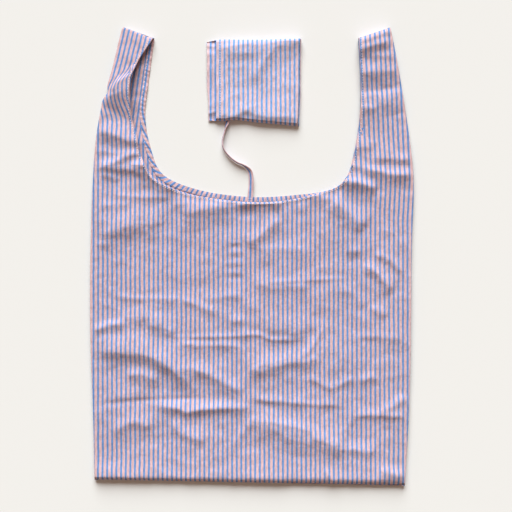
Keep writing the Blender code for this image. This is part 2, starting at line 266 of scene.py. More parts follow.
def striped_cotton(name, pink, blue):
    """Yarn-dyed shirting: the stripes follow the weave, and fine crumples follow the piece."""
    material = bpy.data.materials.new(name)
    material.use_nodes = True
    nodes, links = material.node_tree.nodes, material.node_tree.links
    shader = nodes["Principled BSDF"]
    shader.inputs["Roughness"].default_value = 0.85
    shader.inputs["Specular IOR Level"].default_value = 0.25
    shader.inputs["Sheen Weight"].default_value = 0.12
    shader.inputs["Sheen Roughness"].default_value = 0.5

    weave = nodes.new("ShaderNodeUVMap")
    weave.uv_map = "weave"
    split = nodes.new("ShaderNodeSeparateXYZ")
    links.new(weave.outputs["UV"], split.inputs["Vector"])
    place = nodes.new("ShaderNodeTexCoord")

    sway = nodes.new("ShaderNodeTexNoise")
    sway.inputs["Scale"].default_value = 45
    sway.inputs["Detail"].default_value = 1
    links.new(place.outputs["Object"], sway.inputs["Vector"])
    swayed = nodes.new("ShaderNodeMath")
    swayed.operation = "MULTIPLY_ADD"
    swayed.inputs[1].default_value = 0.0009
    links.new(sway.outputs["Fac"], swayed.inputs[0])
    links.new(split.outputs["X"], swayed.inputs[2])

    repeat = nodes.new("ShaderNodeMath")
    repeat.operation = "PINGPONG"
    repeat.inputs[1].default_value = STRIPE_REPEAT / 2
    links.new(swayed.outputs["Value"], repeat.inputs[0])
    stripe = nodes.new("ShaderNodeMapRange")
    stripe.interpolation_type = "SMOOTHSTEP"
    stripe.inputs["From Min"].default_value = STRIPE_REPEAT / 2 * BLUE_SHARE - 0.00025
    stripe.inputs["From Max"].default_value = STRIPE_REPEAT / 2 * BLUE_SHARE + 0.00025
    links.new(repeat.outputs["Value"], stripe.inputs["Value"])

    colour = nodes.new("ShaderNodeMix")
    colour.data_type = "RGBA"
    colour.inputs["A"].default_value = (*blue, 1)
    colour.inputs["B"].default_value = (*pink, 1)
    links.new(stripe.outputs["Result"], colour.inputs["Factor"])

    stretched = nodes.new("ShaderNodeMapping")
    stretched.inputs["Scale"].default_value = (1100, 140, 1)
    links.new(weave.outputs["UV"], stretched.inputs["Vector"])
    yarn = nodes.new("ShaderNodeTexNoise")
    yarn.inputs["Scale"].default_value = 1
    yarn.inputs["Detail"].default_value = 2
    links.new(stretched.outputs["Vector"], yarn.inputs["Vector"])
    yarn_tone = nodes.new("ShaderNodeMapRange")
    yarn_tone.inputs["From Min"].default_value = 0.3
    yarn_tone.inputs["From Max"].default_value = 0.7
    yarn_tone.inputs["To Min"].default_value = 0.80
    yarn_tone.inputs["To Max"].default_value = 1.17
    links.new(yarn.outputs["Fac"], yarn_tone.inputs["Value"])
    toned = nodes.new("ShaderNodeMix")
    toned.data_type = "RGBA"
    toned.blend_type = "MULTIPLY"
    toned.inputs["Factor"].default_value = 1
    links.new(colour.outputs["Result"], toned.inputs["A"])
    links.new(yarn_tone.outputs["Result"], toned.inputs["B"])
    links.new(toned.outputs["Result"], shader.inputs["Base Color"])

    crumple = nodes.new("ShaderNodeTexNoise")
    crumple.inputs["Scale"].default_value = 110
    crumple.inputs["Detail"].default_value = 3
    links.new(place.outputs["Object"], crumple.inputs["Vector"])
    bump = nodes.new("ShaderNodeBump")
    bump.inputs["Strength"].default_value = 0.8
    bump.inputs["Distance"].default_value = 0.0012
    links.new(crumple.outputs["Fac"], bump.inputs["Height"])
    links.new(bump.outputs["Normal"], shader.inputs["Normal"])
    return material


body_cotton = striped_cotton("Striped cotton", PINK, BLUE)

left_edge = smooth(LEFT_EDGE)
right_edge = smooth(RIGHT_EDGE)
front_neckline = smooth(FRONT_NECKLINE)

# The stripes run straight up the bag, lean with the right handle, and zigzag where the left is kinked.
KINK_SHIFT = np.array(
    [(0.1650, 0), (0.2050, -0.0006), (0.2340, 0.0069), (0.2710, 0.0152), (0.2800, 0.0172)]
)


def lean_of_right_handle(x, y):
    """The right handle leans in, so its stripes do too, and the cloth there is drawn a little wider."""
    lean = 0.043 * np.clip(y - 0.091, 0, 1) * ramp(x, 0.085, 0.120)
    return lean - 0.036 * np.clip(x - 0.120, 0, 1) * ramp(y, 0.040, 0.090)


def front_stripes(x, y):
    """Where across the weave each point of the front is."""
    lean = lean_of_right_handle(x, y)
    folded = ramp(-(y - 0.2000) * 0.835 + (x + 0.1720) * 0.55, -0.008, 0.006)
    above = -np.interp(y, KINK_SHIFT[:, 0], KINK_SHIFT[:, 1])
    below = (0.0054 + 0.0040 * ramp(x, -0.180, -0.150)) * ramp(y, 0.160, 0.192)
    kink = np.where(x < -0.05, (1 - folded) * above + folded * below, 0)
    return x + 0.0012 + lean + kink


CREASE_GAIN = 1.75
BODY_CREASES = [
    ([(-6, -264), (-6, -100), (-6, 62)], 0.5, 2.5, 2.0),
    ([(-26, 60), (0, 63), (42, 63)], 2.6, 3, 7),
    ([(-88, 49), (-70, 52), (-50, 57), (-16, 61)], 2.0, 10, 15),
    ([(-105, 62), (-60, 62), (-20, 61)], 1.0, 5, 12),
    ([(-170, 73), (-130, 71), (-88, 70)], 0.8, 3, 4),
    ([(-184, 60), (-138, 62)], 0.7, 6, 5),
    ([(-188, 22), (-165, 30), (-140, 38), (-120, 39), (-102, 36)], 2.6, 20, 12),
    ([(-188, 14), (-166, 15)], 0.9, 4, 6),
    ([(-8, 12), (12, 27), (36, 47)], 2.0, 8, 9),
    ([(0, 7), (30, 9), (78, 7)], 1.2, 6, 20),
    ([(-2, -32), (30, -35), (74, -36)], 1.7, 10, 12),
    ([(14, -31), (60, -29), (122, -26)], 0.6, 3, 2),
    ([(-168, -45), (-140, -50), (-85, -50)], 0.9, 4, 5),
    ([(-88, -50), (-62, -60), (-38, -69)], 1.0, 5, 5),
    ([(-62, -52), (-30, -48), (-8, -46)], 0.9, 5, 5),
    ([(-192, -90), (-170, -82), (-148, -79)], 2.0, 5, 6),
    ([(-160, -73), (-130, -72), (-100, -76)], 1.3, 8, 13),
    ([(-128, -82), (-108, -84), (-88, -91)], 1.5, 8, 9),
    ([(-100, -96), (-60, -96), (-20, -95), (0, -93), (14, -95), (24, -99), (70, -100)], 0.9, 3, 2.5),
    ([(10, -84), (40, -86), (72, -88)], 1.5, 12, 10),
    ([(-28, -76), (-8, -76)], 0.9, 5, 5),
    ([(58, 70), (80, 71), (98, 66)], 1.4, 4, 11),
    ([(92, 70), (110, 55), (126, 41), (137, 32)], 2.9, 10, 14),
    ([(110, 6), (132, 6)], 1.3, 8, 5),
    ([(132, -9), (150, -22), (170, -44)], 2.4, 7, 7),
    ([(142, 3), (163, -4), (182, -23)], 1.6, 5, 6),
    ([(138, -59), (162, -71)], 1.3, 5, 6),
    ([(118, -95), (150, -96), (184, -98)], 0.9, 5, 4),
    ([(158, -4), (160, 70)], 0.5, 4, 4),
    (
        [(-192, -113), (-160, -114), (-130, -116), (-110, -124), (-95, -134), (-82, -145), (-66, -152)],
        3.4, 17, 9,
    ),
    ([(-152, -141), (-130, -142), (-108, -148)], 1.5, 7, 8),
    ([(-78, -131), (-52, -140), (-30, -152), (-4, -166)], 2.2, 8, 9),
    ([(-94, -100), (-65, -106), (-25, -106), (-4, -114)], 1.3, 5, 6),
    ([(-186, -177), (-130, -171.5), (-45, -169)], -0.9, 3, 4),
    ([(-12, -166), (10, -171), (60, -175), (120, -179)], 1.3, 7, 4),
    ([(-120, -178), (-90, -180), (-78, -185), (-60, -182), (-30, -180), (4, -181)], 2.6, 6, 6.5),
    ([(-168, -214), (-150, -200), (-135, -198), (-115, -206)], 1.7, 7, 9),
    ([(-100, -196), (-82, -211), (-54, -222)], 1.5, 9, 8),
    ([(-26, -226), (-8, -206), (8, -188)], 0.9, 4, 8),
    ([(-8, -141), (20, -129), (55, -124), (90, -123)], 2.8, 10, 13),
    ([(60, -123), (74, -104), (85, -84)], 0.9, 3, 3),
    ([(64, -142), (82, -152), (104, -160)], 1.2, 6, 4),
    ([(98, -156), (122, -144)], 1.2, 4, 6),
    ([(126, -149), (150, -141)], 1.3, 5, 6),
    ([(150, -186), (168, -178), (186, -164)], 2.0, 6, 7),
    ([(116, -190), (150, -189), (188, -191)], 1.5, 5, 4),
    ([(0, -191), (30, -203), (62, -212), (92, -223), (124, -236)], 3.4, 13, 15),
    ([(112, -229), (148, -233)], 1.5, 6, 8),
    ([(110, -212), (118, -195), (124, -172)], 0.6, 3, 4),
    ([(86, -252), (100, -272)], 1.0, 3, 3),
    ([(150, -254), (184, -262)], 1.4, 5, 6),
    ([(-290, -261), (0, -264), (280, -268)], 1.9, 16, 4),
]
STRAP_CREASES = [
    ([(-190, 151), (-165, 145), (-150, 139), (-135, 136), (-122, 130)], 2.4, 10, 8),
    ([(-190, 127), (-165, 123), (-146, 121)], 0.7, 4, 4),
    ([(-184, 104), (-168, 111), (-155, 116), (-143, 121), (-127, 121)], 1.9, 5, 6),
    ([(-188, 105), (-150, 104), (-135, 100), (-122, 95)], 1.8, 8, 6),
    ([(-146, 110), (-120, 107)], 1.5, 4, 5),
    ([(-134, 122), (-123, 98), (-108, 87), (-86, 78)], 2.2, 3, 8),
    ([(-182, 98), (-156, 91)], 0.9, 4, 4),
    ([(122, 253), (148, 262), (170, 270)], 2.0, 4, 5),
    ([(112, 243), (146, 251), (168, 258)], 2.6, 6, 8),
    ([(140, 238), (178, 239)], 1.1, 5, 6),
    ([(150, 120), (150, 180), (150, 290)], 1.8, 45, 45),
    ([(110, 214), (138, 219), (184, 221)], 1.3, 8, 7),
    ([(100, 193), (150, 198), (200, 206)], -1.9, 14, 6),
    ([(120, 178), (150, 176)], 0.9, 3, 5),
    ([(110, 148), (140, 155.5), (169, 164), (205, 170)], -2.0, 12, 18),
    ([(114, 129), (146, 130)], 1.1, 5, 5),
    ([(140, 116), (165, 116), (194, 115)], 1.6, 8, 6),
    ([(128, 104), (148, 102), (165, 98), (198, 97)], 2.8, 5, 10),
    ([(100, 90), (125, 88), (152, 79)], 3.4, 5, 10),
    ([(114, 107), (138, 106)], 1.2, 4, 5),
]
RIPPLES_Y, RIPPLE_GAP = 0.0140, 0.0123
NECK_PUCKER_GAP = 0.0062
BOTTOM_PUCKER_GAP = 0.013
FRONT_LOWEST, FRONT_HIGHEST = 0.0062, 0.0150


def left_kink(x, y):
    """The left handle's cloth is pushed up into a fold that is highest in a line across the handle."""
    low = np.interp(x, (-0.186, -0.165, -0.150, -0.134), (0.183, 0.172, 0.163, 0.158))
    crest = np.interp(x, (-0.186, -0.165, -0.140), (0.188, 0.192, 0.194))
    back = np.interp(x, (-0.182, -0.170, -0.160, -0.148, -0.136), (0.188, 0.193, 0.203, 0.208, 0.220))
    rise = np.minimum(0.34 * (crest - low), 0.0075)
    climb = np.clip((y - low) / (crest - low), 0, 1)
    return np.where(x < -0.08, rise * climb * (1 - ramp(y, back, back + 0.011)), 0)


def crumpled(x, y, place=0.0):
    """The soft waves and faint old folds that all of the cloth has."""
    height = 0.0016 * waves(x, y, 0.050, 3.1 + place)
    height += 0.0009 * waves(x, y * 1.5, 0.020, 7.7 + place)
    height -= 0.0010 * np.abs(waves(x, y * 1.3, 0.034, 5.2 + place))
    return height


def front_height(x, y):
    """The front's creases, kink, rolled edge, ripples and seam puckers, kept clear of what is below."""
    away, along = from_path(front_neckline, x, y)
    height = FRONT_HEIGHT + crumpled(x, y) + CREASE_GAIN * creases(x, y, BODY_CREASES)
    height += CREASE_GAIN * creases(x, y, STRAP_CREASES)
    height += left_kink(x, y) + 0.0010 * np.exp(-away / 0.003)
    rolled = 0.0048 * ramp(y, 0.190, 0.215) * np.clip((0.272 - y) / 0.06, 0, 1)
    height += np.where(x < -0.08, rolled, 0)
    ripple = np.exp(-(((x + 0.020) / 0.009) ** 2)) * ramp(y, -0.035, -0.025) * ramp(-y, -0.022, -0.016)
    height += 0.0006 * ripple * np.sin((y - RIPPLES_Y) * 2 * math.pi / RIPPLE_GAP)
    seam = np.exp(-(((away - HEM_WIDTH) / 0.0013) ** 2))
    pucker = np.sin(along * 2 * math.pi / NECK_PUCKER_GAP + 3 * waves(x, y, 0.02, 9.0))
    height -= seam * (0.0003 + 0.0003 * pucker)
    pucker = np.sin(x * 2 * math.pi / BOTTOM_PUCKER_GAP + 2 * waves(x, y, 0.03, 1.0))
    height += 0.0002 * pucker * ramp(-y, 0.205, 0.240)
    from_left = x - np.interp(y, left_edge[:, 1], left_edge[:, 0])
    from_right = np.interp(y, right_edge[:, 1], right_edge[:, 0]) - x
    edge = np.minimum(from_left, from_right)
    height = FRONT_HEIGHT + (height - FRONT_HEIGHT) * (0.35 + 0.65 * ramp(edge, 0, 0.008))
    lowest = FRONT_LOWEST - 0.0020 * ramp(edge, 0.048, 0.060)
    middle = ramp(x, -0.072, -0.062) * ramp(-x, -0.078, -0.068)
    under_pouch = ramp(y, -0.130, -0.120) * ramp(-y, 0.000, 0.010)
    highest = FRONT_HIGHEST - middle * ramp(-y, 0.000, 0.010) * (0.0042 + 0.0013 * under_pouch)
    return np.clip(height, lowest, highest)


def body_patch(neckline, rows, shoulder_columns, neck_columns):
    """The panel from the bottom seam to the neck, and to the level of the shoulders beside it."""
    neck = scoop(neckline, SHOULDER_Y)
    left = evenly(stretch(left_edge, LEFT_EDGE[0][1], SHOULDER_Y), rows)
    right = evenly(stretch(right_edge, RIGHT_EDGE[0][1], SHOULDER_Y), rows)
    over_left = evenly(np.array([left[-1], neck[0]]), shoulder_columns)
    over_right = evenly(np.array([neck[-1], right[-1]]), shoulder_columns)
    top = np.vstack((over_left[:-1], evenly(neck, neck_columns), over_right[1:]))
    bottom = evenly(np.array([left_edge[0], right_edge[0]]), 2 * shoulder_columns + neck_columns)
    return patch(left, right, bottom, top)


def woven(points, height, stripes):
    """The points with their height and their place in the weave."""
    x, y = points[..., 0], points[..., 1]
    return np.dstack((x, y, height(x, y), stripes(x, y), y))


def turn_neck(grid, first, count, radius, tuck, down=1):
    """Turns only the neck part of the top edge under."""
    part = fold_edge(grid[:, first : first + count + 1], "top", radius, tuck, down)
    extra = part.shape[0] - grid.shape[0]
    whole = np.full((part.shape[0], *grid.shape[1:]), np.nan)
    whole[:-extra] = grid
    whole[:, first : first + count + 1] = part
    return whole


FRONT_ROWS, SHOULDER_COLUMNS, NECK_COLUMNS = 190, 32, 156
points = body_patch(front_neckline, FRONT_ROWS, SHOULDER_COLUMNS, NECK_COLUMNS)
front_grid = woven(points, front_height, front_stripes)
front_grid = turn_neck(front_grid, SHOULDER_COLUMNS, NECK_COLUMNS, TURNED_RADIUS, TURNED_TUCK)
front_grid = fold_edge(front_grid, "left", FOLD_RADIUS, FOLD_TUCK)
front_grid = fold_edge(front_grid, "right", FOLD_RADIUS, FOLD_TUCK)
front_grid = fold_edge(front_grid, "bottom", 0.0030, 0.0004, turn=90)
front_grid[0, :, 2] = SEAM_HEIGHT
front = cloth("front_of_bag", front_grid)
thicken(front)
front.data.materials.append(body_cotton)
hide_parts("front_panel_upper", "front_panel_lower")
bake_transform(front)

# ------------------------------------------------------------------ front straps
# Each handle's front is cut in one with the front panel. Its outer side is a pressed fold, its inner
# side is turned under and stitched, and its top is seamed to the back strap. The left one is kinked half
# way up and rolls outwards at its inner side.
STRAP_ROWS = 84


def half_of(neckline, sign):
    """The side of a neckline that borders one strap."""
    return neckline[(neckline[:, 0] * sign > 0) & (neckline[:, 1] > SHOULDER_Y - 0.02)]


def strap_patch(edge, neckline, sign, columns, rows):
    """A strap from the level of the shoulders to the seam at its top."""
    outer_top = edge[:, 1].max()
    inner = half_of(neckline, sign)
    outer = evenly(stretch(edge, SHOULDER_Y, outer_top), rows)
    inner = evenly(stretch(inner, SHOULDER_Y, inner[:, 1].max()), rows)
    left, right = (outer, inner) if sign < 0 else (inner, outer)
    bottom = evenly(np.array([left[0], right[0]]), columns)
    top = evenly(np.array([left[-1], right[-1]]), columns)
    return patch(left, right, bottom, top)


SIDES = (("left", left_edge, -1), ("right", right_edge, 1))
for side, edge, sign in SIDES:
    points = strap_patch(edge, front_neckline, sign, SHOULDER_COLUMNS, STRAP_ROWS)
    grid = woven(points, front_height, front_stripes)
    outer, inner = ("left", "right") if sign < 0 else ("right", "left")
    grid = fold_edge(grid, outer, FOLD_RADIUS, FOLD_TUCK)
    grid = fold_edge(grid, inner, TURNED_RADIUS, TURNED_TUCK)
    grid = fold_edge(grid, "top", 0.0012, 0.0019, turn=90)
    grid[-1, :, 2] = SEAM_HEIGHT
    strap = cloth(f"{side}_front_of_handle", grid)
    thicken(strap)
    strap.data.materials.append(body_cotton)
    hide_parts(f"{side}_front_strap")
    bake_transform(strap)

# ------------------------------------------------------------------ back panel below the handles
# The back is cut like the front, from the same shirting, and lies with its outside down. The front's
# neck has slipped down a little, so the back's inside and its turned hem show past the front's edge.
BACK_NECKLINE = [
    (-0.1165, 0.2600), (-0.1240, 0.2050), (-0.1277, 0.1680), (-0.1215, 0.1310), (-0.1060, 0.0975),
    (-0.0620, 0.0790), (-0.0040, 0.0710), (0.0500, 0.0730), (0.0930, 0.0795), (0.1130, 0.0950),
    (0.1225, 0.1260), (0.1287, 0.1680), (0.1295, 0.2040), (0.1270, 0.2598),
]
BACK_HEIGHT, BACK_HIGHEST = 0.0002, 0.0016
BACK_RADIUS = 0.0006
BACK_SEAM_RADIUS, BACK_SEAM_RISE = 0.0012, 0.0022
BACK_CREASES = [
    ([(-146, 196), (-118, 200)], 1.2, 3, 5),
    ([(-146, 224), (-118, 222)], 1.2, 4, 6),
    ([(-146, 186), (-118, 186)], 0.8, 3, 4),
    ([(-140, 142), (-120, 132)], 1.0, 4, 5),
    ([(-130, 256), (-112, 258)], 1.0, 3, 4),
]
back_neckline = smooth(BACK_NECKLINE)


def back_stripes(x, y):
    """Where across the weave each point of the back is."""
    lean = lean_of_right_handle(x, y)
    follow = np.where(x < -0.05, 0.14 * np.clip(y - 0.135, 0, 1), 0)
    return x + 0.0031 + lean - follow


def back_height(x, y):
    """The back lies flat, with faint old folds, and creases where it shows in the left handle."""
    height = BACK_HEIGHT + np.abs(crumpled(x, y, 21.0)) * 0.9
    height += creases(x, y, BACK_CREASES)
    return np.clip(height, BACK_HEIGHT, BACK_HIGHEST)


BACK_ROWS, BACK_SHOULDER_COLUMNS, BACK_NECK_COLUMNS = 96, 16, 90
points = body_patch(back_neckline, BACK_ROWS, BACK_SHOULDER_COLUMNS, BACK_NECK_COLUMNS)
back_grid = woven(points, back_height, back_stripes)
back_grid = fold_edge(back_grid, "left", BACK_RADIUS, FOLD_TUCK, down=-1)
back_grid = fold_edge(back_grid, "right", BACK_RADIUS, FOLD_TUCK, down=-1)
back_grid = fold_edge(back_grid, "bottom", BACK_SEAM_RADIUS, BACK_SEAM_RISE, down=-1, turn=90)
back = cloth("back_of_bag", back_grid, outside=-1)
thicken(back)
back.data.materials.append(body_cotton)
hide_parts("back_panel_upper", "back_panel_lower")
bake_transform(back)

# ------------------------------------------------------------------ back straps
# The back of each handle is cut in one with the back panel, from the same shirting, with its outside
# down. The inside of the left one shows, because the front one has slipped outwards.
BACK_STRAP_ROWS = 60
for side, edge, sign in SIDES:
    points = strap_patch(edge, back_neckline, sign, BACK_SHOULDER_COLUMNS, BACK_STRAP_ROWS)
    grid = woven(points, back_height, back_stripes)
    outer = "left" if sign < 0 else "right"
    grid = fold_edge(grid, outer, BACK_RADIUS, FOLD_TUCK, down=-1)
    grid = fold_edge(grid, "top", BACK_SEAM_RADIUS, BACK_SEAM_RISE, down=-1, turn=90)
    strap = cloth(f"{side}_back_of_handle", grid, outside=-1)
    thicken(strap)
    strap.data.materials.append(body_cotton)
    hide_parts(f"{side}_back_strap")
    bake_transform(strap)

# ------------------------------------------------------------------ gussets
# Each side has a gusset, one strip of the same shirting that joins the pressed folds of the front and
# the back, and is folded inwards to lie between them.
GUSSET_DEPTH = 0.0460
GUSSET_START = 0.0008
GUSSET_TOP_Y = 0.1050
GUSSET_UPPER, GUSSET_LOWER = 0.0051, 0.0022
GUSSET_ROWS, GUSSET_COLUMNS = 96, 12
INNER_THICKNESS = 0.0003


def gusset_grid(edge, sign):
    """Rows up the side of the bag, and columns from the front fold in to the middle one and back out."""
    side = evenly(stretch(edge, edge[0, 1] + 0.001, GUSSET_TOP_Y), GUSSET_ROWS)
    radius = (GUSSET_UPPER - GUSSET_LOWER) / 2
    middle = (GUSSET_UPPER + GUSSET_LOWER) / 2
    flat_end = GUSSET_DEPTH - radius
    depths = np.linspace(GUSSET_START, flat_end, GUSSET_COLUMNS)
    section = [(depth, GUSSET_UPPER) for depth in depths]
    for angle in range(30, 180, 30):
        bend = math.radians(angle)
        section.append((flat_end + radius * math.sin(bend), middle + radius * math.cos(bend)))
    depths = np.linspace(flat_end, GUSSET_START, GUSSET_COLUMNS)
    section += [(depth, GUSSET_LOWER) for depth in depths]
    section = np.array(section)
    run = np.concatenate(([0], np.cumsum(np.linalg.norm(np.diff(section, axis=0), axis=1))))
    x = side[:, 0][:, None] - sign * section[None, :, 0]
    y = np.repeat(side[:, 1][:, None], len(section), axis=1)
    z = section[None, :, 1] + 0.0003 * waves(x, y, 0.03, 40.0 + sign)
    u = side[:, 0][:, None] - sign * run[None, :]
    return np.dstack((x, y, z, u, y))


for side, edge, sign in SIDES:
    gusset = cloth(f"{side}_gusset", gusset_grid(edge, sign), outside=sign)
    thicken(gusset, INNER_THICKNESS)
    gusset.data.materials.append(body_cotton)
    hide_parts(f"{side}_gusset_upper", f"{side}_gusset_lower")
    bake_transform(gusset)

# ------------------------------------------------------------------ turned hems of neck and straps
# The cut edge of each panel is turned to the inside and stitched down, so the strip's stripes mirror the
# panel's across the fold.
HEM_STEP = 0.0011
HEM_PUCKER_GAP = 0.0056
HEM_RISE = 0.0009
FRONT_HEM_HEIGHT = 0.0056


def hem_grid(path, width, level, stripes, inset=0.0004, puckers=0.0003):
    """A strip along the cloth side of a path that runs with the cloth on its right."""
    path = evenly(path, max(8, int(np.linalg.norm(np.diff(path, axis=0), axis=1).sum() / HEM_STEP)))
    tangent = np.gradient(path, axis=0)
    inward = np.column_stack((tangent[:, 1], -tangent[:, 0]))
    inward /= np.linalg.norm(inward, axis=1)[:, None]
    depth = np.array([0, 0.15, 0.5, 0.85, 1.0]) * width + inset
    sink = np.array([0.0002, 0, 0, 0, 0.0003])
    x = path[:, 0][:, None] + inward[:, 0][:, None] * depth
    y = path[:, 1][:, None] + inward[:, 1][:, None] * depth
    far_x = path[:, 0][:, None] - inward[:, 0][:, None] * depth
    far_y = path[:, 1][:, None] - inward[:, 1][:, None] * depth
    along = np.arange(len(path))[:, None] * HEM_STEP
    slant = 4 * waves(x, y, 0.015, 70.0)
    pucker = np.sin(along * 2 * math.pi / HEM_PUCKER_GAP + slant + depth * 400)
    z = level(x, y) - sink + puckers * pucker
    return np.dstack((x, y, z, stripes(far_x, far_y), far_y))


def back_hem_level(x, y):
    """The back's hems lie on its inside."""
    return back_height(x, y) + HEM_RISE


def front_hem_level(x, y):
    """The front's hems hang level under it."""
    return np.full(x.shape, FRONT_HEM_HEIGHT)


def hem_paths(neckline):
    """The neck's part of a neckline and the two straps' parts, each with the cloth on its right."""
    left = stretch(half_of(neckline, -1), SHOULDER_Y, half_of(neckline, -1)[:, 1].max())[::-1]
    right = stretch(half_of(neckline, 1), SHOULDER_Y, half_of(neckline, 1)[:, 1].max())
    return scoop(neckline, SHOULDER_Y), left, right


for face, neckline, level, stripes in (
    ("back", back_neckline, back_hem_level, back_stripes),
    ("front", front_neckline, front_hem_level, front_stripes),
):
    neck, left, right = hem_paths(neckline)
    facing = 1 if face == "back" else -1
    hem = cloth(f"{face}_neck_turning", hem_grid(neck, HEM_WIDTH, level, stripes), outside=-facing)
    thicken(hem, INNER_THICKNESS)
    hem.data.materials.append(body_cotton)
    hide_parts(f"{face}_neck_hem")
    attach(hem, "bag")
    for side, path in (("left", left), ("right", right)):
        grid = hem_grid(path, HEM_WIDTH, level, stripes)
        hem = cloth(f"{side}_{face}_handle_turning", grid, outside=-facing)
        thicken(hem, INNER_THICKNESS)
        hem.data.materials.append(body_cotton)
        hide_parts(f"{side}_{face}_strap_hem")
        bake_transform(hem)

# ------------------------------------------------------------------ seam allowances
# The panels are sewn together along the bottom, and the straps along the tops of the handles, and the
# two raw edges of each seam lie flat together inside.
SEAM_ALLOWANCE = 0.0080
SEAM_LEVEL = 0.0038
SEAM_THICKNESS = 0.0007


def seam_grid(ends, inward):
    """A strip from a seam line to the inside."""
    line = evenly(np.array(ends, float), 90)
    depth = np.array([0.0006, 0.0030, 0.0055, SEAM_ALLOWANCE])
    x = line[:, 0][:, None] + inward[0] * depth
    y = line[:, 1][:, None] + inward[1] * depth
    z = SEAM_LEVEL + 0.0004 * waves(x, y, 0.02, 60.0)
    return np.dstack((x, y, z, x, y))


def sew_seam(name, ends, inward, node, body):
    """One pair of raw edges along a seam of the bag."""
    seam = cloth(name, seam_grid(ends, inward))
    thicken(seam, SEAM_THICKNESS)
    seam.data.materials.append(body_cotton)
    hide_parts(node)
    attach(seam, body)
    return seam


sew_seam(
    "bottom_seam_inside",
    ((LEFT_EDGE[0][0] + 0.001, LEFT_EDGE[0][1]), (RIGHT_EDGE[0][0] - 0.001, RIGHT_EDGE[0][1])),
    (0, 1), "bottom_seam", "lower_bag",
)
for side, edge, sign in SIDES:
    outer = np.array((edge[-1, 0] - sign * 0.002, edge[-1, 1]))
    inner = half_of(front_neckline, sign)
    inner = inner[inner[:, 1].argmax()] + np.array((sign * 0.002, 0))
    run = (outer - inner) / np.linalg.norm(outer - inner)
    down = np.array((run[1], -run[0])) * (1 if run[0] > 0 else -1)
    sew_seam(f"{side}_handle_seam_inside", (inner, outer), down, f"{side}_handle_seam", f"{side}_handle")

# ------------------------------------------------------------------ pouch
# The bag packs into this small pouch of two layers of the shirting, sewn along three sides and turned
# right side out. Its mouth is on the left, where the back layer reaches past the front one.
POUCH_TOP = [(-0.0541, 0.2558), (-0.0430, 0.2580), (-0.0314, 0.2588), (0.0000, 0.2583), (0.0587, 0.2593)]
POUCH_BOTTOM = [
    (-0.0520, 0.1622), (-0.0430, 0.1618), (-0.0333, 0.1615), (-0.0179, 0.1628), (0.0095, 0.1596),
    (0.0560, 0.1555),
]
POUCH_RIGHT = [(0.0560, 0.1555), (0.0578, 0.1900), (0.0582, 0.2250), (0.0587, 0.2593)]
POUCH_LEFT = [
    (-0.0520, 0.1622), (-0.0519, 0.1840), (-0.0538, 0.2050), (-0.0536, 0.2300), (-0.0541, 0.2558),
]
POUCH_MOUTH = [(-0.0430, 0.1618), (-0.0424, 0.1900), (-0.0430, 0.2200), (-0.0430, 0.2580)]
POUCH_PITCH = 0.99
POUCH_HEIGHT, POUCH_LOWEST, POUCH_HIGHEST = 0.0062, 0.0058, 0.0099
POUCH_BACK_HEIGHT, POUCH_BACK_HIGHEST = 0.0003, 0.0042
POUCH_SEAM_HEIGHT = 0.0018
POUCH_SEAM_THICKNESS = 0.0006
POUCH_CREASE_GAIN = 1.2
# The pouch's pink and blue are lighter than the body's, though it is the same shirting: painted light,
# standing in for the pouch lying brighter in the light than the creased body.
POUCH_LIT_PINK = (0.79, 0.55, 0.56)
POUCH_LIT_BLUE = (0.17, 0.36, 0.73)
POUCH_CREASES = [
    ([(-50, 247), (10, 251), (32, 254), (50, 257), (110, 262)], 3.6, 6, 13),
    ([(-44, 238), (-20, 243), (-5, 247), (12, 252)], 1.0, 8, 17),
    ([(2, 206), (10, 226), (28, 250)], 1.9, 8, 7),
    ([(-50, 166), (-20, 168), (-8, 174), (5, 169), (20, 166), (40, 166), (66, 160)], 3.0, 20, 6),
    ([(30, 205), (60, 206)], 0.9, 8, 10),
    ([(-37, 168), (-37, 200), (-38, 250)], 0.4, 2, 2),
]
POUCH_BACK_CREASES = [
    ([(-58, 252), (-40, 249)], 1.7, 3, 3),
    ([(-58, 168), (-40, 174)], 1.6, 3, 3),
    ([(-90, 241), (-10, 241)], 3.4, 6, 34),
    ([(-90, 180), (-10, 180)], 2.0, 17, 12),
]
POUCH_ROWS, POUCH_FRONT_COLUMNS, POUCH_BACK_COLUMNS = 66, 68, 56


def pouch_stripes(x, y):
    """Where across the weave each point of the pouch is."""
    return (x + 0.0044) * POUCH_PITCH


def pouch_front_height(x, y):
    """The pouch's front is puffed up by air, and creased along its top and its bottom seam."""
    height = POUCH_HEIGHT + 0.7 * crumpled(x, y, 33.0)
    height = height + POUCH_CREASE_GAIN * creases(x, y, POUCH_CREASES)
    return np.clip(height, POUCH_LOWEST, POUCH_HIGHEST)


def pouch_back_height(x, y):
    """The pouch's back lies flat, and lifts at the corners and along the edge of its mouth."""
    height = POUCH_BACK_HEIGHT + np.abs(crumpled(x, y, 52.0)) * 0.7
    height = height + creases(x, y, POUCH_BACK_CREASES)
    return np.clip(height, POUCH_BACK_HEIGHT, POUCH_BACK_HIGHEST)


def pouch_hem_level(x, y):
    """The mouth's turned edge lies on the inside of the pouch's back."""
    return pouch_back_height(x, y) + HEM_RISE


def pouch_grid(left, columns, height):
    """A layer of the pouch between its seams, from the given left edge."""
    right, rows = smooth(POUCH_RIGHT), POUCH_ROWS
    top, bottom = smooth(POUCH_TOP), smooth(POUCH_BOTTOM)
    top = top[top[:, 0] >= left[-1][0] - 1e-6]
    bottom = bottom[bottom[:, 0] >= left[0][0] - 1e-6]
    left = smooth(left)
    top = evenly(np.vstack((left[-1], top)), columns)
    bottom = evenly(np.vstack((left[0], bottom)), columns)
    return woven(patch(evenly(left, rows), evenly(right, rows), bottom, top), height, pouch_stripes)
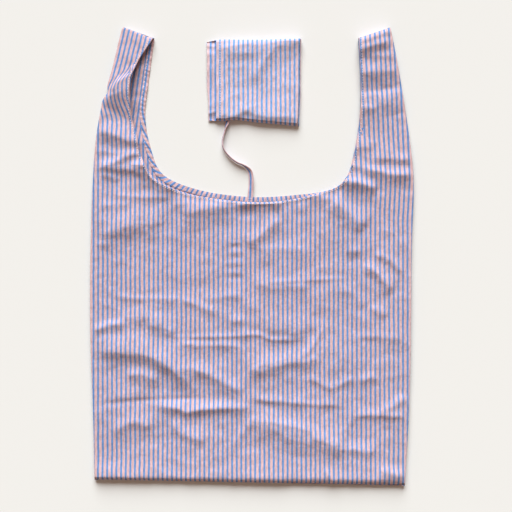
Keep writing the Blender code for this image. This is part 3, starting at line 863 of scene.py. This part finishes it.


# A lighter copy of the body's shirting for the pouch: painted light, not a different cloth.
pouch_lit_cotton = striped_cotton("Striped cotton, pouch, painted lighter", POUCH_LIT_PINK, POUCH_LIT_BLUE)
grid = pouch_grid(POUCH_MOUTH, POUCH_FRONT_COLUMNS, pouch_front_height)
grid = fold_edge(grid, "left", 0.0006, HEM_WIDTH)
for side, radius in (("right", 0.0022), ("top", 0.0022), ("bottom", 0.0038)):
    grid = fold_edge(grid, side, radius, 0.0042 - radius, turn=90)
grid[[0, -1], :, 2] = POUCH_SEAM_HEIGHT
grid[:, -1, 2] = POUCH_SEAM_HEIGHT
grid[..., 2] = np.maximum(grid[..., 2], 0.0016)
pouch_front = cloth("front_of_pouch", grid)
thicken(pouch_front)
pouch_front.data.materials.append(pouch_lit_cotton)
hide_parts("pouch_front", "pouch_front_mouth_hem")
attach(pouch_front, "pouch")
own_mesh(pouch_front)

grid = pouch_grid(POUCH_LEFT, POUCH_BACK_COLUMNS, pouch_back_height)
for side in ("right", "top", "bottom"):
    grid = fold_edge(grid, side, 0.0010, 0.0010, down=-1, turn=90)
grid[..., 2] = np.minimum(grid[..., 2], 0.0040)
pouch_back = cloth("back_of_pouch", grid, outside=-1)
thicken(pouch_back)
pouch_back.data.materials.append(pouch_lit_cotton)
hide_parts("pouch_back")
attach(pouch_back, "pouch")

grid = hem_grid(smooth(POUCH_LEFT), HEM_WIDTH, pouch_hem_level, pouch_stripes, 0.0002, 0)
grid[..., 3] = pouch_stripes(grid[..., 0], grid[..., 1])
hem = cloth("pouch_mouth_turning", grid, outside=-1)
thicken(hem, INNER_THICKNESS)
hem.data.materials.append(pouch_lit_cotton)
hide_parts("pouch_back_mouth_hem")
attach(hem, "pouch")

for node, ends, inward in (
    ("pouch_top_seam", ((-0.0400, 0.2558), (0.0560, 0.2566)), (0, -1)),
    ("pouch_bottom_seam", ((-0.0400, 0.1645), (0.0530, 0.1590)), (0, 1)),
    ("pouch_side_seam", ((0.0535, 0.1610), (0.0562, 0.2540)), (-1, 0)),
):
    seam = seam_grid(ends, inward)
    seam[..., 2] -= 0.0014
    seam = cloth(node + "_inside", seam)
    thicken(seam, POUCH_SEAM_THICKNESS)
    seam.data.materials.append(pouch_lit_cotton)
    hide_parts(node)
    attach(seam, "pouch")

# ------------------------------------------------------------------ tape
# A narrow strip of the same shirting, folded flat, joins the pouch to the middle of the back neck hem.
# It turns on edge as it leaves the pouch's bottom seam, and lies flat again at its sewn foot.
TAPE_WIDTH, TAPE_THICKNESS = 0.0062, 0.0006
TAPE_ROUTE = [
    (-0.0295, 0.1635, 0.0036), (-0.0300, 0.1594, 0.0034), (-0.0327, 0.1496, 0.0034),
    (-0.0352, 0.1390, 0.0036), (-0.0342, 0.1290, 0.0038), (-0.0273, 0.1195, 0.0038),
    (-0.0181, 0.1122, 0.0038), (-0.0099, 0.1086, 0.0037), (-0.0036, 0.1032, 0.0035),
    (-0.0013, 0.0972, 0.0034), (-0.0010, 0.0862, 0.0030), (-0.0017, 0.0755, 0.0028),
]
FOOT_ROUTE = [(-0.0017, 0.0755, 0.0028), (-0.0020, 0.0715, 0.0027), (-0.0030, 0.0635, 0.0026)]


def tape_grid(route, edge_on):
    """Rows along a route, and columns across the tape. edge_on gives how far it has turned on edge."""
    tangent = np.gradient(route, axis=0)
    flat_side = np.column_stack((-tangent[:, 1], tangent[:, 0], np.zeros(len(route))))
    flat_side /= np.linalg.norm(flat_side, axis=1)[:, None]
    run = np.concatenate(([0], np.cumsum(np.linalg.norm(np.diff(route, axis=0), axis=1))))
    turn = edge_on(run / run[-1])[:, None]
    across = flat_side * np.cos(turn) + np.array((0, 0, 1.0)) * np.sin(turn)
    place = np.linspace(-0.5, 0.5, 7) * TAPE_WIDTH
    points = route[:, None] + across[:, None] * place[None, :, None]
    u = np.repeat(place[None], len(route), axis=0)
    v = np.repeat(run[:, None], len(place), axis=1)
    return np.dstack((points, u, v))


def on_edge(t):
    """How far the tape has turned up on edge, from its start to its end."""
    leaning_back = 1 - 0.62 * ramp(t, 0.62, 0.80) - 0.38 * ramp(t, 0.90, 1)
    return math.radians(80) * ramp(t, -0.02, 0.12) * leaning_back


route = evenly(smooth(TAPE_ROUTE), 110)
tape = cloth("tape_to_pouch", tape_grid(route, on_edge))
thicken(tape, TAPE_THICKNESS)
tape.modifiers["Cloth thickness"].offset = 0
tape.data.materials.append(body_cotton)
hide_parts("pouch_tape")
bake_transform(tape)

foot = cloth("sewn_end_of_tape", tape_grid(evenly(smooth(FOOT_ROUTE), 12), lambda t: 0 * t))
thicken(foot, TAPE_THICKNESS)
foot.modifiers["Cloth thickness"].offset = 0
foot.data.materials.append(body_cotton)
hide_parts("tape_foot")
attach(foot, "bag")

# ------------------------------------------------------------------ stitches
# Each hem is held by a line of machine stitches in pale spun thread, and the tape's foot by two short
# lines across it. Each stitch is a small rounded bead of thread that lies on the cloth.
STITCH_PITCH, TACK_PITCH = 0.0030, 0.0012
STITCH_SHARE, STITCH_HALF_WIDTH, STITCH_HALF_HEIGHT = 0.36, 0.00036, 0.00028
TACK_HEIGHT = 0.0030
TACK_LINES = [[(-0.0045, 0.0688), (0.0002, 0.0690)], [(-0.0048, 0.0660), (-0.0001, 0.0662)]]
MOUTH_LINE = [(-0.0380, 0.1640), (-0.0376, 0.1900), (-0.0380, 0.2200), (-0.0380, 0.2565)]
thread = bpy.data.materials.new("Sewing thread")
thread.use_nodes = True
thread_shader = thread.node_tree.nodes["Principled BSDF"]
thread_shader.inputs["Base Color"].default_value = (0.88, 0.80, 0.82, 1)
thread_shader.inputs["Roughness"].default_value = 0.7


def stitches(name, lines, level, pitch=STITCH_PITCH):
    """Small rounded stitches along lines that lie on the cloth."""
    work = bmesh.new()
    for line in lines:
        count = max(2, int(np.linalg.norm(np.diff(line, axis=0), axis=1).sum() / pitch))
        line = evenly(line, count)
        heights = level(line[:, 0][None], line[:, 1][None])[0]
        for k in range(count):
            start = Vector((*line[k], heights[k]))
            end = Vector((*line[k + 1], heights[k + 1]))
            run = end - start
            turn = run.to_track_quat("X", "Z").to_matrix().to_4x4()
            half = (run.length * STITCH_SHARE, STITCH_HALF_WIDTH, STITCH_HALF_HEIGHT, 1)
            size = Matrix.Diagonal(half)
            place = Matrix.Translation((start + end) / 2) @ turn @ size
            bmesh.ops.create_icosphere(work, subdivisions=1, radius=1, matrix=place)
    for face in work.faces:
        face.smooth = True
    mesh = bpy.data.meshes.new(name)
    work.to_mesh(mesh)
    work.free()
    piece = bpy.data.objects.new(name, mesh)
    bpy.context.scene.collection.objects.link(piece)
    piece.data.materials.append(thread)
    return piece


def beside(path, distance):
    """A line at a distance on the cloth side of a path."""
    path = evenly(path, 160)
    tangent = np.gradient(path, axis=0)
    inward = np.column_stack((tangent[:, 1], -tangent[:, 0]))
    inward /= np.linalg.norm(inward, axis=1)[:, None]
    return path + inward * distance


for face, neckline, level, from_edge in (
    ("front", front_neckline, lambda x, y: front_height(x, y) + 0.00005, 0.0024),
    ("back", back_neckline, lambda x, y: back_height(x, y) + 0.0010, 0.0048),
):
    neck, left, right = hem_paths(neckline)
    piece = stitches(f"{face}_neck_stitches", [beside(neck, from_edge)], level)
    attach(piece, "bag")
    for side, path in (("left", left), ("right", right)):
        lines = [beside(path, from_edge)]
        piece = stitches(f"{side}_{face}_handle_stitches", lines, level)
        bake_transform(piece)

lines = [np.array(line) for line in TACK_LINES]
piece = stitches("tape_tack_stitches", lines, lambda x, y: np.full(x.shape, TACK_HEIGHT), TACK_PITCH)
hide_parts("tape_tack_stitch")
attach(piece, "bag")

piece = stitches("pouch_front_mouth_stitches", [np.array(MOUTH_LINE)], pouch_front_height)
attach(piece, "pouch")
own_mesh(piece)


for side, _, _ in SIDES:
    gusset = bpy.data.objects[f"{side}_gusset"]

# ------------------------------------------------------------------ floor, light and camera
# The bag lies on plain pale paper. A low, broad and cool light comes from beyond the handles, a warm one
# comes from all round, and the camera looks straight down.
bpy.ops.mesh.primitive_plane_add(size=60)
floor = bpy.context.object
floor.name = "floor"
paper = bpy.data.materials.new("Pale floor")
paper.use_nodes = True
paper_shader = paper.node_tree.nodes["Principled BSDF"]
paper_shader.inputs["Base Color"].default_value = (0.86, 0.84, 0.80, 1)
paper_shader.inputs["Roughness"].default_value = 1.0
paper_shader.inputs["Specular IOR Level"].default_value = 0.0
floor.data.materials.append(paper)

sun = bpy.data.lights.new("Soft key light", "SUN")
sun.energy = 5.25
sun.color = (0.87, 0.95, 1.0)
sun.angle = math.radians(45)
sun_object = bpy.data.objects.new("Soft key light", sun)
bpy.context.scene.collection.objects.link(sun_object)
sun_object.rotation_euler = (math.radians(-57), math.radians(-6), 0)

world = bpy.data.worlds.new("Studio")
world.use_nodes = True
surroundings = world.node_tree.nodes["Background"]
surroundings.inputs["Color"].default_value = (1.0, 0.71, 0.54, 1)
surroundings.inputs["Strength"].default_value = 0.26
bpy.context.scene.world = world
bpy.context.scene.view_settings.view_transform = "Standard"

camera_data = bpy.data.cameras.new("Camera")
camera_data.lens = 85
camera_data.sensor_width = 36
camera = bpy.data.objects.new("Camera", camera_data)
camera.location = (0.0048, 0.0004, 1.4462)
bpy.context.scene.collection.objects.link(camera)
bpy.context.scene.camera = camera
